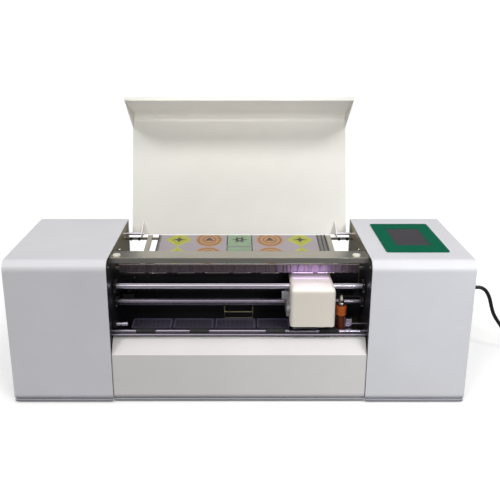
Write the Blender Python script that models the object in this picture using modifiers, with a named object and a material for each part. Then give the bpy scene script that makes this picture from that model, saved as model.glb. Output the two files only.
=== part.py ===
"""Desktop UV sheet printer: two sheet-metal pods joined by an open printing bay.

Units are metres and +Z is up. X runs across the machine, "depth" is measured back
from the front of the pods, and heights are measured from the table.
The origin is on the table, under the middle of the machine's box with the lid open.
"""

import math

import bmesh
import bpy
from mathutils import Matrix, Vector

# ------------------------------------------------------------------ driving dimensions
WIDTH = 0.760  # over both pods
POD_WIDTH = 0.167
DEPTH = 0.261  # front to back of the pods
CASE_BOTTOM = 0.006  # the feet hold the casing this far off the table
CASE_TOP = 0.253
FRONT_Y = -0.16602  # Y of the front of the pods
FRONT_RADIUS = 0.0175
SILL_RADIUS = 0.010
REAR_RADIUS = 0.004
CASE_SHEET = 0.002
COVER_SHEET = 0.0015
CLEARANCE = 0.0004  # between pieces that touch on the real machine

BAY = WIDTH / 2 - POD_WIDTH  # half the opening between the pods
FRAME_X = BAY + 0.0015  # inner face of a side frame
FRAME_SHEET = 0.003
SPAN = FRAME_X - CLEARANCE  # half the length of what runs from frame to frame
FLOOR = CASE_BOTTOM + CASE_SHEET + CLEARANCE  # underside of the base plate
BASE_SHEET = 0.0025
DECK = FLOOR + BASE_SHEET + CLEARANCE  # what stands on the base plate starts here

HINGE_DEPTH = 0.235
HINGE_HEIGHT = 0.230
LID_ANGLE = math.radians(110)  # from closed to open
LID_HALF_WIDTH = 0.206
LID_LIP = 0.112
EAR_X = 0.185

CARRIAGE_X = 0.12175
CARRIAGE_WIDTH = 0.0745
UPPER_ROD = (0.063, 0.1884)  # depth and height of its axis
LOWER_ROD = (0.070, 0.1576)
UPPER_ROD_RADIUS = 0.005
LOWER_ROD_RADIUS = 0.00375

FEED_AXIS = (0.038, 0.1158)
FEED_RADIUS = 0.004
FEED_CENTRE = -0.003
ROLLER_OFFSETS = (-0.155, -0.0645, 0.0645, 0.155)
ROLLER_LENGTH = 0.033
ROLLER_RADIUS = 0.006

PLATEN_LEFT = -0.184
TILE_PITCH = 0.0718

BELT_DEPTH = 0.113
IDLER_X = -0.196
DRIVE_X = 0.193
PULLEY_RADIUS = 0.007
BELT_BOTTOM = 0.165
BELT_WIDTH = 0.006

TRAY_START = (0.090, 0.214)  # depth and height of the tray's front edge
TRAY_SLOPE = 0.10
TRAY_END = 0.232

SCREEN_X = 0.2965
INLET = (0.205, 0.1325)  # depth and height of the mains inlet
SWITCH_TILT = math.radians(6)  # the rocker rests tilted, in its off position

CORD_RADIUS = 0.0035
COIL_CENTRE = (0.595, 0.2465)  # x and depth
COIL_RADII = (0.031, 0.045)
COIL_HEIGHT = 0.021
# x and height of the mains lead from its connector to its coil
CORD_ROUTE = (
    (0.4425, 0.1325), (0.4520, 0.1325), (0.4610, 0.1318), (0.4712, 0.1250), (0.4794, 0.1106),
    (0.4852, 0.0921), (0.4919, 0.0754), (0.5025, 0.0595), (0.5145, 0.0430), (0.5257, 0.0276),
    (0.5345, 0.0178), (0.5450, 0.0103), (0.5570, 0.0055), (0.5697, 0.0038),
)

# colour, roughness, metallic
LOOKS = {
    "paint_grey": ((0.62, 0.62, 0.64), 0.40, 0.0),
    "paint_white": ((0.80, 0.78, 0.76), 0.40, 0.0),
    "brushed_steel": ((0.52, 0.50, 0.47), 0.35, 1.0),
    "zinc_steel": ((0.42, 0.40, 0.34), 0.45, 1.0),
    "polished_steel": ((0.80, 0.79, 0.82), 0.12, 1.0),
    "black_paint": ((0.02, 0.02, 0.022), 0.55, 0.0),
    "black_plastic": ((0.025, 0.025, 0.03), 0.45, 0.0),
    "grey_plastic": ((0.30, 0.30, 0.31), 0.45, 0.0),
    "white_plastic": ((0.82, 0.80, 0.78), 0.35, 0.0),
    "black_rubber": ((0.02, 0.02, 0.02), 0.75, 0.0),
    "green_film": ((0.010, 0.155, 0.085), 0.30, 0.0),
    "dark_glass": ((0.08, 0.07, 0.08), 0.12, 0.0),
    "printed_film": ((0.62, 0.60, 0.62), 0.45, 0.0),
    "clear_film": ((0.45, 0.43, 0.48), 0.20, 0.0),
    "amber_plastic": ((0.60, 0.20, 0.04), 0.30, 0.0),
    "circuit_board": ((0.02, 0.16, 0.06), 0.45, 0.0),
    "brass": ((0.70, 0.52, 0.22), 0.30, 1.0),
}

MODEL_NAME = "desktop_uv_printer"


# ------------------------------------------------------------------ scene helpers
def clear_scene():
    for obj in list(bpy.data.objects):
        bpy.data.objects.remove(obj, do_unlink=True)


def new_collection(name):
    collection = bpy.data.collections.new(name)
    bpy.context.scene.collection.children.link(collection)
    return collection


def material_for(name, look):
    colour, roughness, metallic = LOOKS[look]
    mat = bpy.data.materials.new(name)
    mat.use_nodes = True
    shader = mat.node_tree.nodes["Principled BSDF"]
    shader.inputs["Base Color"].default_value = (*colour, 1.0)
    shader.inputs["Roughness"].default_value = roughness
    shader.inputs["Metallic"].default_value = metallic
    mat.diffuse_color = (*colour, 1.0)
    return mat


def add_part(name, data, look, matrix=None):
    """A named part in the model's collection, with its own material."""
    obj = bpy.data.objects.new(name, data)
    obj.matrix_world = matrix or Matrix()
    obj.data.materials.append(material_for(name, look))
    PARTS.objects.link(obj)
    return obj


def add_tool(mesh, matrix=None):
    """A hidden solid that a Boolean cuts with or joins on."""
    obj = bpy.data.objects.new("tool", mesh)
    obj.matrix_world = matrix or Matrix()
    obj.hide_render = True
    obj.display_type = "WIRE"
    TOOLS.objects.link(obj)
    return obj


def boolean(target, tool, operation):
    modifier = target.modifiers.new(operation.lower(), "BOOLEAN")
    modifier.operation = operation
    modifier.object = tool


def pivot(name, x, depth, height, rotation=None):
    """An empty on a joint's axis."""
    empty = bpy.data.objects.new(name, None)
    empty.matrix_world = place(x, depth, height) @ (rotation or Matrix())
    PARTS.objects.link(empty)
    return empty


def hang(parts, empty):
    """Parents parts to a joint's empty and leaves them where they are."""
    for part in parts:
        world = part.matrix_world.copy()
        part.parent = empty
        part.matrix_parent_inverse = empty.matrix_basis.inverted()
        part.matrix_basis = world


def place(x, depth, height):
    return Matrix.Translation((x, FRONT_Y + depth, height))


# ------------------------------------------------------------------ shape helpers
def box_mesh(x, depth, z):
    """A box from three (low, high) pairs, with its mesh centred on its own origin."""
    mesh = bpy.data.meshes.new("box")
    bm = bmesh.new()
    size = (x[1] - x[0], depth[1] - depth[0], z[1] - z[0], 1.0)
    bmesh.ops.create_cube(bm, size=1.0, matrix=Matrix.Diagonal(size))
    bm.to_mesh(mesh)
    bm.free()
    return mesh, place((x[0] + x[1]) / 2, (depth[0] + depth[1]) / 2, (z[0] + z[1]) / 2)


def box(name, x, depth, z, look, bevel=0.0):
    mesh, matrix = box_mesh(x, depth, z)
    obj = add_part(name, mesh, look, matrix)
    if bevel:
        modifier = obj.modifiers.new("edges", "BEVEL")
        modifier.width = bevel
        modifier.segments = 2
    return obj


def box_tool(x, depth, z):
    return add_tool(*box_mesh(x, depth, z))


def cylinder_mesh(radius, length, sides, tip_radius=None):
    mesh = bpy.data.meshes.new("cylinder")
    bm = bmesh.new()
    bmesh.ops.create_cone(
        bm, cap_ends=True, segments=sides, radius1=radius,
        radius2=radius if tip_radius is None else tip_radius, depth=length,
    )
    bm.to_mesh(mesh)
    bm.free()
    mesh.shade_smooth()
    mesh.set_sharp_from_angle(angle=math.radians(40))
    return mesh


ALONG_X = Matrix.Rotation(math.radians(90), 4, "Y")
ALONG_Y = Matrix.Rotation(math.radians(-90), 4, "X")


def bar(name, x, depth, height, radius, look, sides=20):
    """A round bar along X between two x values."""
    matrix = place((x[0] + x[1]) / 2, depth, height) @ ALONG_X
    return add_part(name, cylinder_mesh(radius, x[1] - x[0], sides), look, matrix)


def bar_tool(x, depth, height, radius, sides=20):
    matrix = place((x[0] + x[1]) / 2, depth, height) @ ALONG_X
    return add_tool(cylinder_mesh(radius, x[1] - x[0], sides), matrix)


def arc(centre, radius, start, end, steps):
    """Points on an arc between two angles in degrees."""
    points = []
    for i in range(steps + 1):
        angle = math.radians(start + (end - start) * i / steps)
        points.append((centre[0] + radius * math.cos(angle), centre[1] + radius * math.sin(angle)))
    return points


def curve_mesh(outlines, half_width, fill, cyclic):
    """The mesh of flat outlines, extruded half_width to each side of their plane."""
    curve = bpy.data.curves.new("outline", "CURVE")
    curve.dimensions = "2D"
    curve.fill_mode = fill
    curve.extrude = half_width
    for outline in outlines:
        spline = curve.splines.new("POLY")
        spline.points.add(len(outline) - 1)
        for point, (u, v) in zip(spline.points, outline):
            point.co = (u, v, 0.0, 1.0)
        spline.use_cyclic_u = cyclic
    holder = bpy.data.objects.new("outline", curve)
    TOOLS.objects.link(holder)
    bpy.context.view_layer.update()
    evaluated = holder.evaluated_get(bpy.context.evaluated_depsgraph_get())
    mesh = bpy.data.meshes.new_from_object(evaluated)
    bpy.data.objects.remove(holder, do_unlink=True)
    bm = bmesh.new()
    bm.from_mesh(mesh)
    bmesh.ops.remove_doubles(bm, verts=bm.verts, dist=0.00001)
    bm.to_mesh(mesh)
    bm.free()
    return mesh


# turns a flat (depth, height) outline up so that it is extruded along X
SIDE_ON = Matrix(((0, 0, 1, 0), (1, 0, 0, 0), (0, 1, 0, 0), (0, 0, 0, 1)))


def prism_mesh(outlines, half_width):
    return curve_mesh(outlines, half_width, "BOTH", True)


def side_prism(name, outline, x, look):
    """A closed (depth, height) outline extruded from x[0] to x[1]."""
    mesh = prism_mesh([outline], (x[1] - x[0]) / 2)
    return add_part(name, mesh, look, place((x[0] + x[1]) / 2, 0, 0) @ SIDE_ON)


def flat_prism(name, outlines, z, look):
    """Closed (x, depth) outlines extruded from z[0] to z[1]."""
    mesh = prism_mesh(outlines, (z[1] - z[0]) / 2)
    return add_part(name, mesh, look, place(0, 0, (z[0] + z[1]) / 2))


def folded_sheet(name, path, x, thickness, look, matrix=None):
    """A bent sheet whose middle follows a (depth, height) path, from x[0] to x[1]."""
    mesh = curve_mesh([path], (x[1] - x[0]) / 2, "NONE", False)
    middle = matrix or place((x[0] + x[1]) / 2, 0, 0) @ SIDE_ON
    obj = add_part(name, mesh, look, middle)
    solid = obj.modifiers.new("thickness", "SOLIDIFY")
    solid.thickness = thickness
    solid.offset = 0.0
    solid.use_even_offset = True
    return obj


def turned_mesh(profile, closed):
    """A (radius, height) profile, listed down its outer side, turned about Z."""
    mesh = bpy.data.meshes.new("profile")
    vertices = [(radius, 0.0, height) for radius, height in profile]
    edges = [(i, i + 1) for i in range(len(vertices) - 1)]
    if closed:
        edges.append((len(vertices) - 1, 0))
    mesh.from_pydata(vertices, edges, [])
    return mesh


def turned(name, profile, look, matrix, steps=24, closed=False):
    obj = add_part(name, turned_mesh(profile, closed), look, matrix)
    screw = obj.modifiers.new("turn", "SCREW")
    screw.steps = steps
    screw.render_steps = steps
    screw.use_merge_vertices = True
    screw.merge_threshold = 0.00001
    screw.use_smooth_shade = True
    return obj


def smooth_path(points, spacing):
    """Points a spacing apart on the Catmull-Rom curve through the given points."""
    ends = [2 * points[0] - points[1], *points, 2 * points[-1] - points[-2]]
    dense = []
    for a, b, c, d in zip(ends, ends[1:], ends[2:], ends[3:]):
        for i in range(20):
            t = i / 20
            dense.append(0.5 * (2 * b + (c - a) * t + (2 * a - 5 * b + 4 * c - d) * t ** 2
                                + (3 * b - a - 3 * c + d) * t ** 3))
    dense.append(points[-1])
    total = sum((q - p).length for p, q in zip(dense, dense[1:]))
    count = max(2, round(total / spacing))
    path = [dense[0]]
    travelled = 0.0
    for p, q in zip(dense, dense[1:]):
        travelled += (q - p).length
        if travelled >= len(path) * total / count and len(path) < count:
            path.append(q)
    path.append(dense[-1])
    return path


def wire(name, points, radius, look, resolution=2):
    """A round wire or lead through world points, with closed ends."""
    curve = bpy.data.curves.new(name, "CURVE")
    curve.dimensions = "3D"
    curve.bevel_depth = radius
    curve.bevel_resolution = resolution
    curve.use_fill_caps = True
    spline = curve.splines.new("POLY")
    spline.points.add(len(points) - 1)
    for point, position in zip(spline.points, points):
        point.co = (*position, 1.0)
    return add_part(name, curve, look)


def at(x, depth, height):
    return Vector((x, FRONT_Y + depth, height))


# ------------------------------------------------------------------ casing
def case_path():
    """The middle of a pod's wrapped sheet, from the front sill over the top to the back sill."""
    half = CASE_SHEET / 2
    low = CASE_BOTTOM
    path = [(0.032, low + half)]
    path += arc((SILL_RADIUS, low + SILL_RADIUS), SILL_RADIUS - half, -90, -180, 5)
    path += arc((FRONT_RADIUS, CASE_TOP - FRONT_RADIUS), FRONT_RADIUS - half, 180, 90, 10)
    back = DEPTH - REAR_RADIUS
    path += arc((back, CASE_TOP - REAR_RADIUS), REAR_RADIUS - half, 90, 0, 3)
    path += arc((back, low + REAR_RADIUS), REAR_RADIUS - half, 0, -90, 3)
    path.append((DEPTH - 0.026, low + half))
    return path


def side_outline(inset):
    """The casing's outline seen from the side, inset, and cut off at the base plate."""
    sill = SILL_RADIUS - inset
    rise = CASE_BOTTOM + SILL_RADIUS - DECK
    start = 180 + math.degrees(math.asin(rise / sill))
    back = DEPTH - REAR_RADIUS
    points = [(DEPTH - inset, DECK)]
    points += arc((SILL_RADIUS, CASE_BOTTOM + SILL_RADIUS), sill, start, 180, 2)
    points += arc((FRONT_RADIUS, CASE_TOP - FRONT_RADIUS), FRONT_RADIUS - inset, 180, 90, 6)
    points += arc((back, CASE_TOP - REAR_RADIUS), REAR_RADIUS - inset, 90, 0, 2)
    return points


def pod(side):
    """A pod's shell, outer cover and inner frame; side is -1 on the left and 1 on the right."""
    name = "left" if side < 0 else "right"
    shell_x = sorted((side * BAY, side * WIDTH / 2))
    shell = folded_sheet(f"{name}_pod_shell", case_path(), shell_x, CASE_SHEET, "paint_grey")
    outline = side_outline(CASE_SHEET + CLEARANCE)
    cover_x = sorted((side * (WIDTH / 2 - 0.003), side * (WIDTH / 2 - 0.001)))
    cover = side_prism(f"{name}_side_cover", outline, cover_x, "paint_grey")
    frame_x = sorted((side * FRAME_X, side * (FRAME_X + FRAME_SHEET)))
    frame = side_prism(f"{name}_side_frame", outline, frame_x, "zinc_steel")
    return shell, cover, frame


def vent_slots(target, x, depth, z, count, step):
    """Cuts a row of slots; step is the (x, y, z) offset from one slot to the next."""
    tool = box_tool(x, depth, z)
    array = tool.modifiers.new("row", "ARRAY")
    array.count = count
    array.use_relative_offset = False
    array.use_constant_offset = True
    array.constant_offset_displace = step
    boolean(target, tool, "DIFFERENCE")


def casing():
    box("base_plate", (-0.3765, 0.3765), (0.012, 0.2555), (FLOOR, FLOOR + BASE_SHEET), "zinc_steel")
    left_cover = pod(-1)[1]
    right_shell, right_cover, right_frame = pod(1)
    screen_hole = box_tool((0.2655, 0.3275), (0.0828, 0.1858), (CASE_TOP - 0.01, CASE_TOP + 0.01))
    boolean(right_shell, screen_hole, "DIFFERENCE")
    inlet_hole = box_tool(
        (0.370, 0.390), (INLET[0] - 0.0155, INLET[0] + 0.0155), (INLET[1] - 0.0125, INLET[1] + 0.0125)
    )
    boolean(right_cover, inlet_hole, "DIFFERENCE")
    boolean(right_cover, box_tool((0.370, 0.390), (0.194, 0.216), (0.1545, 0.1835)), "DIFFERENCE")
    for cover, x in ((left_cover, (-0.390, -0.370)), (right_cover, (0.370, 0.390))):
        vent_slots(cover, x, (0.060, 0.120), (0.060, 0.0635), 6, (0, 0, 0.010))
    shaft_hole = bar_tool((0.210, 0.222), *FEED_AXIS, FEED_RADIUS + 0.0006)
    boolean(right_frame, shaft_hole, "DIFFERENCE")


def front_cover():
    half = COVER_SHEET / 2
    recess = 0.003
    sill = arc((recess + SILL_RADIUS, CASE_BOTTOM + SILL_RADIUS), SILL_RADIUS - half, -90, -180, 5)
    path = [(0.032, CASE_BOTTOM + half), *sill, (recess + half, 0.0880), (0.0270, 0.1092), (0.0270, 0.0985)]
    reach = BAY - CLEARANCE
    folded_sheet("front_cover", path, (-reach, reach), COVER_SHEET, "paint_white")


def rear_cover():
    half = COVER_SHEET / 2
    corner = arc((DEPTH - REAR_RADIUS, CASE_BOTTOM + REAR_RADIUS), REAR_RADIUS - half, -90, 0, 3)
    path = [(0.235, CASE_BOTTOM + half), *corner, (DEPTH - half, 0.1842), (0.238, 0.1842), (0.238, 0.174)]
    reach = BAY - CLEARANCE
    cover = folded_sheet("rear_cover", path, (-reach, reach), COVER_SHEET, "paint_white")
    vent_slots(cover, (-0.110, -0.107), (0.255, 0.265), (0.060, 0.110), 12, (0.0195, 0, 0))


def feet():
    for name, x, depth in (
        ("foot_front_left", -0.330, 0.045), ("foot_front_right", 0.330, 0.045),
        ("foot_rear_left", -0.330, 0.222), ("foot_rear_right", 0.330, 0.222),
    ):
        top = FLOOR - 0.0003
        profile = [(0.0, top), (0.0125, top), (0.0115, 0.0006), (0.0108, 0.0), (0.0, 0.0)]
        turned(name, profile, "black_rubber", place(x, depth, 0))


# ------------------------------------------------------------------ printing bay
def top_beam():
    half = COVER_SHEET / 2
    top = 0.248 - half
    path = [(0.036 + half, 0.2385), (0.036 + half, top), (0.073 - half, top), (0.073 - half, 0.2360)]
    folded_sheet("front_top_beam", path, (-SPAN, SPAN), COVER_SHEET, "brushed_steel")


def ribbed_guide():
    """A strip across the bay with a row of upright ribs on its front."""
    pitch = 0.012
    ribs = 34
    rib_width = 0.0025
    back, root, crest = 0.088, 0.0825, 0.0800
    end = 0.2055
    outline = [(end, back), (-end, back), (-end, root)]
    for i in range(ribs):
        x = (i - (ribs - 1) / 2) * pitch
        outline += [(x - rib_width / 2, root), (x - rib_width / 2, crest)]
        outline += [(x + rib_width / 2, crest), (x + rib_width / 2, root)]
    outline.append((end, root))
    flat_prism("ribbed_sheet_guide", [outline], (0.206, 0.220), "grey_plastic")


def platen():
    right = 0.086
    outline = [
        (0.047, 0.100), (0.1257, 0.100), (0.1257, 0.103), (0.085, 0.103), (0.085, 0.1185), (0.047, 0.1185),
    ]
    bed = side_prism("platen", outline, (PLATEN_LEFT, right), "black_plastic")
    first = PLATEN_LEFT + TILE_PITCH
    vent_slots(bed, (first - 0.0025, first + 0.0025), (0.040, 0.090), (0.1155, 0.125), 3, (TILE_PITCH, 0, 0))


def bay():
    top_beam()
    ribbed_guide()
    platen()
    box("inner_back_panel", (-SPAN, 0.165), (0.126, 0.128), (DECK, 0.204), "black_paint")
    bar("upper_guide_rod", (-SPAN, SPAN), *UPPER_ROD, UPPER_ROD_RADIUS, "polished_steel", 24)
    bar("lower_guide_rod", (-SPAN, SPAN), *LOWER_ROD, LOWER_ROD_RADIUS, "polished_steel")
    bar("front_exit_rod", (-SPAN, SPAN), 0.020, 0.1178, 0.0018, "polished_steel", 12)
    box("encoder_strip", (-SPAN, 0.168), (0.1022, 0.1030), (0.138, 0.1497), "clear_film")
    hook = [(-0.026, 0.1255, 0.136), (-0.026, 0.106, 0.133), (-0.026, 0.106, 0.112)]
    points = hook + [(-x - 0.002, depth, height) for x, depth, height in reversed(hook)]
    wire("sheet_guide_wire", [at(*p) for p in points], 0.0012, "polished_steel")


# ------------------------------------------------------------------ sheet tray
def tray_height(depth):
    return TRAY_START[1] + TRAY_SLOPE * (depth - TRAY_START[0])


def sloped_plate(name, x, depth, lift, thickness, look):
    """A plate in the tray's plane, its top lifted above the tray's top."""
    outline = [
        (depth[0], tray_height(depth[0]) + lift - thickness),
        (depth[1], tray_height(depth[1]) + lift - thickness),
        (depth[1], tray_height(depth[1]) + lift),
        (depth[0], tray_height(depth[0]) + lift),
    ]
    if look is None:
        mesh = prism_mesh([outline], (x[1] - x[0]) / 2)
        return add_tool(mesh, place((x[0] + x[1]) / 2, 0, 0) @ SIDE_ON)
    return side_prism(name, outline, x, look)


def tray():
    frame = box("tray_frame", (-SPAN, SPAN), (0.2220, 0.2275), (0.2215, 0.2255), "brushed_steel")
    boolean(frame, box_tool((-SPAN, SPAN), (0.0905, 0.0965), (0.2080, 0.2125)), "UNION")
    for side in (-1, 1):
        x = sorted((side * 0.1637, side * 0.1725))
        rail = sloped_plate("rail", x, (0.0895, 0.2310), 0.0005, 0.0040, None)
        boolean(frame, rail, "UNION")
    sloped_plate("sheet_tray", (-0.152, 0.163), (TRAY_START[0], TRAY_END), 0.0, 0.0008, "black_plastic")
    sloped_plate("printed_sheet", (-0.146, 0.145), (0.0980, 0.2305), 0.0006, 0.0003, "printed_film")


# ------------------------------------------------------------------ carriage
def carriage_cover():
    """A hood with no back or floor; its sides stop short of the guide rods."""
    x = (CARRIAGE_X - CARRIAGE_WIDTH / 2, CARRIAGE_X + CARRIAGE_WIDTH / 2)
    mesh, matrix = box_mesh(x, (0.015, 0.095), (0.134, 0.2005))
    bm = bmesh.new()
    bm.from_mesh(mesh)
    unwanted = [f for f in bm.faces if f.normal.z < -0.5 or f.normal.y > 0.5]
    bmesh.ops.delete(bm, geom=unwanted, context="FACES")
    bm.to_mesh(mesh)
    bm.free()
    cover = add_part("carriage_cover", mesh, "white_plastic", matrix)
    bevel = cover.modifiers.new("edges", "BEVEL")
    bevel.width = 0.007
    bevel.segments = 4
    solid = cover.modifiers.new("thickness", "SOLIDIFY")
    solid.thickness = 0.002
    solid.use_even_offset = True
    boolean(cover, box_tool((0.07, 0.18), (0.046, 0.110), (0.120, 0.1972)), "DIFFERENCE")
    return cover


def carriage_frame():
    frame = box("carriage_frame", (0.080, 0.162), (0.0465, 0.092), (0.140, 0.180), "grey_plastic")
    for x in ((0.088, 0.104), (0.140, 0.156)):
        boolean(frame, box_tool(x, (0.0535, 0.0725), (0.178, 0.1966)), "UNION")
    boolean(frame, box_tool((0.072, 0.090), (0.047, 0.058), (0.171, 0.1815)), "UNION")
    boolean(frame, box_tool((0.151, 0.161), (0.090, 0.109), (0.160, 0.176)), "UNION")
    strand = BELT_DEPTH - PULLEY_RADIUS - 0.001
    slot = box_tool(
        (0.14, 0.17), (strand - 0.0012, strand + 0.0012),
        (BELT_BOTTOM - 0.0004, BELT_BOTTOM + BELT_WIDTH + 0.0004),
    )
    boolean(frame, slot, "DIFFERENCE")
    boolean(frame, bar_tool((0.06, 0.18), *UPPER_ROD, UPPER_ROD_RADIUS + 0.0004, 24), "DIFFERENCE")
    boolean(frame, bar_tool((0.06, 0.18), *LOWER_ROD, LOWER_ROD_RADIUS + 0.0004), "DIFFERENCE")
    return frame


def carriage():
    parts = [carriage_cover(), carriage_frame()]
    parts.append(box("print_head", (0.092, 0.132), (0.048, 0.084), (0.1238, 0.1397), "black_plastic"))
    parts.append(box("uv_lamp", (0.092, 0.148), (0.0925, 0.1010), (0.128, 0.190), "grey_plastic"))
    hang(parts, pivot("carriage_axis", CARRIAGE_X, *UPPER_ROD))


def pulley(name, x):
    low, high = BELT_BOTTOM - 0.001, BELT_BOTTOM + BELT_WIDTH + 0.001
    flange = PULLEY_RADIUS + 0.0025
    profile = [
        (0.0, high + 0.0015), (flange, high + 0.0015), (flange, high), (PULLEY_RADIUS, high),
        (PULLEY_RADIUS, low), (flange, low), (flange, low - 0.0015), (0.004, low - 0.0015),
        (0.004, 0.1584), (0.0, 0.1584),
    ]
    part = turned(name, profile, "polished_steel", place(x, BELT_DEPTH, 0))
    hang([part], pivot(f"{name}_axis", x, BELT_DEPTH, BELT_BOTTOM))


def belt_drive():
    pulley("belt_drive_pulley", DRIVE_X)
    pulley("belt_idler_pulley", IDLER_X)
    loops = []
    for radius in (PULLEY_RADIUS + 0.0017, PULLEY_RADIUS + 0.0003):
        loop = arc((IDLER_X, BELT_DEPTH), radius, 90, 270, 10)
        loops.append(loop + arc((DRIVE_X, BELT_DEPTH), radius, -90, 90, 10))
    flat_prism("carriage_belt", loops, (BELT_BOTTOM, BELT_BOTTOM + BELT_WIDTH), "black_rubber")
    box("belt_motor", (SPAN - 0.042, SPAN), (0.093, 0.133), (0.118, 0.158), "black_paint", 0.002)
    box("idler_bracket", (-0.206, -0.186), (0.104, 0.1257), (0.150, 0.158), "zinc_steel")


# ------------------------------------------------------------------ sheet feed
def gear_outline(centre, root, tip, teeth, turn=0.0):
    """A toothed outline about a (depth, height) centre."""
    outline = []
    for i in range(teeth):
        for share, radius in ((0.0, root), (0.15, tip), (0.45, tip), (0.60, root)):
            angle = 2 * math.pi * (i + share + turn) / teeth
            outline.append((centre[0] + radius * math.cos(angle), centre[1] + radius * math.sin(angle)))
    return outline


def feed_gear():
    loops = [gear_outline((0, 0), 0.0186, 0.0200, 24), arc((0, 0), FEED_RADIUS + 0.0003, 0, 345, 23)]
    mesh = prism_mesh(loops, 0.003)
    return add_part("feed_gear", mesh, "white_plastic", place(0.222, *FEED_AXIS) @ SIDE_ON)


def feed():
    parts = [bar("feed_shaft", (-SPAN, 0.226), *FEED_AXIS, FEED_RADIUS, "polished_steel")]
    for number, offset in enumerate(ROLLER_OFFSETS, start=1):
        half = ROLLER_LENGTH / 2
        bore = FEED_RADIUS + 0.0003
        profile = [(ROLLER_RADIUS, half), (ROLLER_RADIUS, -half), (bore, -half), (bore, half)]
        matrix = place(FEED_CENTRE + offset, *FEED_AXIS) @ ALONG_X
        parts.append(turned(f"feed_roller_{number}", profile, "black_rubber", matrix, 20, True))
    parts.append(feed_gear())
    hang(parts, pivot("feed_axis", 0, *FEED_AXIS))

    pinion_axis = (FEED_AXIS[0] + 0.0264, FEED_AXIS[1])
    pinion = add_part(
        "feed_motor_pinion", prism_mesh([gear_outline((0, 0), 0.0048, 0.0060, 8)], 0.0046),
        "brass", place(0.2236, *pinion_axis) @ SIDE_ON,
    )
    hang([pinion], pivot("feed_motor_axis", 0.2236, *pinion_axis))
    reach = 0.021
    motor = box(
        "feed_motor", (0.2286, 0.2626), (pinion_axis[0] - reach, pinion_axis[0] + reach),
        (pinion_axis[1] - reach, pinion_axis[1] + reach), "black_paint",
    )
    outside = FRAME_X + FRAME_SHEET + CLEARANCE
    for rise in (-0.017, 0.017):
        stand = bar_tool((outside, 0.230), pinion_axis[0] + 0.017, pinion_axis[1] + rise, 0.003, 10)
        boolean(motor, stand, "UNION")


# ------------------------------------------------------------------ service station
def capping_station():
    base = box("capping_base", (0.088, 0.150), (0.050, 0.100), (DECK, 0.105), "black_plastic")
    boolean(base, box_tool((0.107, 0.131), (0.064, 0.084), (0.070, 0.115)), "DIFFERENCE")
    sled = box("capping_sled", (0.092, 0.146), (0.052, 0.098), (0.1133, 0.1195), "grey_plastic")
    boolean(sled, box_tool((0.108, 0.130), (0.065, 0.083), (0.080, 0.115)), "UNION")
    boolean(sled, box_tool((0.094, 0.130), (0.054, 0.080), (0.118, 0.1235)), "UNION")
    boolean(sled, box_tool((0.097, 0.127), (0.057, 0.077), (0.1205, 0.130)), "DIFFERENCE")
    boolean(sled, box_tool((0.1370, 0.1390), (0.056, 0.078), (0.118, 0.1235)), "UNION")
    hang([sled], pivot("capping_axis", 0.119, 0.074, 0.1133))


def waste_pump():
    profile = [
        (0.0, 0.1750), (0.0016, 0.1750), (0.0016, 0.1680), (0.0050, 0.1680), (0.0050, 0.1590),
        (0.0085, 0.1590), (0.0085, 0.1410), (0.0072, 0.1410), (0.0072, 0.1000), (0.0050, 0.1000),
        (0.0050, DECK), (0.0, DECK),
    ]
    turned("waste_pump", profile, "amber_plastic", place(0.1732, 0.0520, 0))


def head_release_lever():
    axis = (0.0515, 0.1245)
    lever = box("head_release_lever", (0.182, 0.192), (0.050, 0.053), (0.112, 0.1335), "polished_steel")
    boolean(lever, bar_tool((0.187, SPAN), *axis, 0.0014, 12), "UNION")
    hang([lever], pivot("lever_axis", 0.187, *axis))


# ------------------------------------------------------------------ lid
def lid_path():
    """The middle of the lid's sheet when it is shut, about its hinge axis."""
    half = COVER_SHEET / 2
    plane = CASE_TOP - HINGE_HEIGHT
    front = -HINGE_DEPTH
    path = [(0.0, plane - half)]
    path += arc((front + FRONT_RADIUS, plane - FRONT_RADIUS), FRONT_RADIUS - half, 90, 180, 8)
    path += [(front + half, plane - LID_LIP), (front - 0.004, plane - LID_LIP - 0.0015)]
    return path


def lid():
    closed = Matrix(SIDE_ON)
    opened = Matrix.Rotation(-LID_ANGLE, 4, "X")
    hinge = place(0, HINGE_DEPTH, HINGE_HEIGHT) @ opened
    panel = folded_sheet(
        "lid_panel", lid_path(), (-LID_HALF_WIDTH, LID_HALF_WIDTH), COVER_SHEET, "paint_white", hinge @ closed
    )
    plane = CASE_TOP - HINGE_HEIGHT - COVER_SHEET / 2
    for side in (-1, 1):
        ear = arc((0, 0), 0.0065, 0, -180, 8) + [(-0.028, plane), (-0.001, plane)]
        bore = arc((0, 0), 0.0029, 0, 340, 17)
        middle = Matrix.Translation((side * EAR_X, 0, 0))
        boolean(panel, add_tool(prism_mesh([ear, bore], 0.001), hinge @ middle @ closed), "UNION")
    hang([panel], pivot("lid_axis", 0, HINGE_DEPTH, HINGE_HEIGHT))
    for side, name in ((-1, "hinge_pin_left"), (1, "hinge_pin_right")):
        x = sorted((side * 0.1815, side * SPAN))
        bar(name, x, HINGE_DEPTH, HINGE_HEIGHT, 0.0025, "polished_steel", 16)


# ------------------------------------------------------------------ screen and electrics
def rounded_rectangle(x, depth, radius, steps):
    points = []
    for centre, start in (
        ((x[1] - radius, depth[1] - radius), 0), ((x[0] + radius, depth[1] - radius), 90),
        ((x[0] + radius, depth[0] + radius), 180), ((x[1] - radius, depth[0] + radius), 270),
    ):
        points += arc(centre, radius, start, start + 90, steps)
    return points


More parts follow.
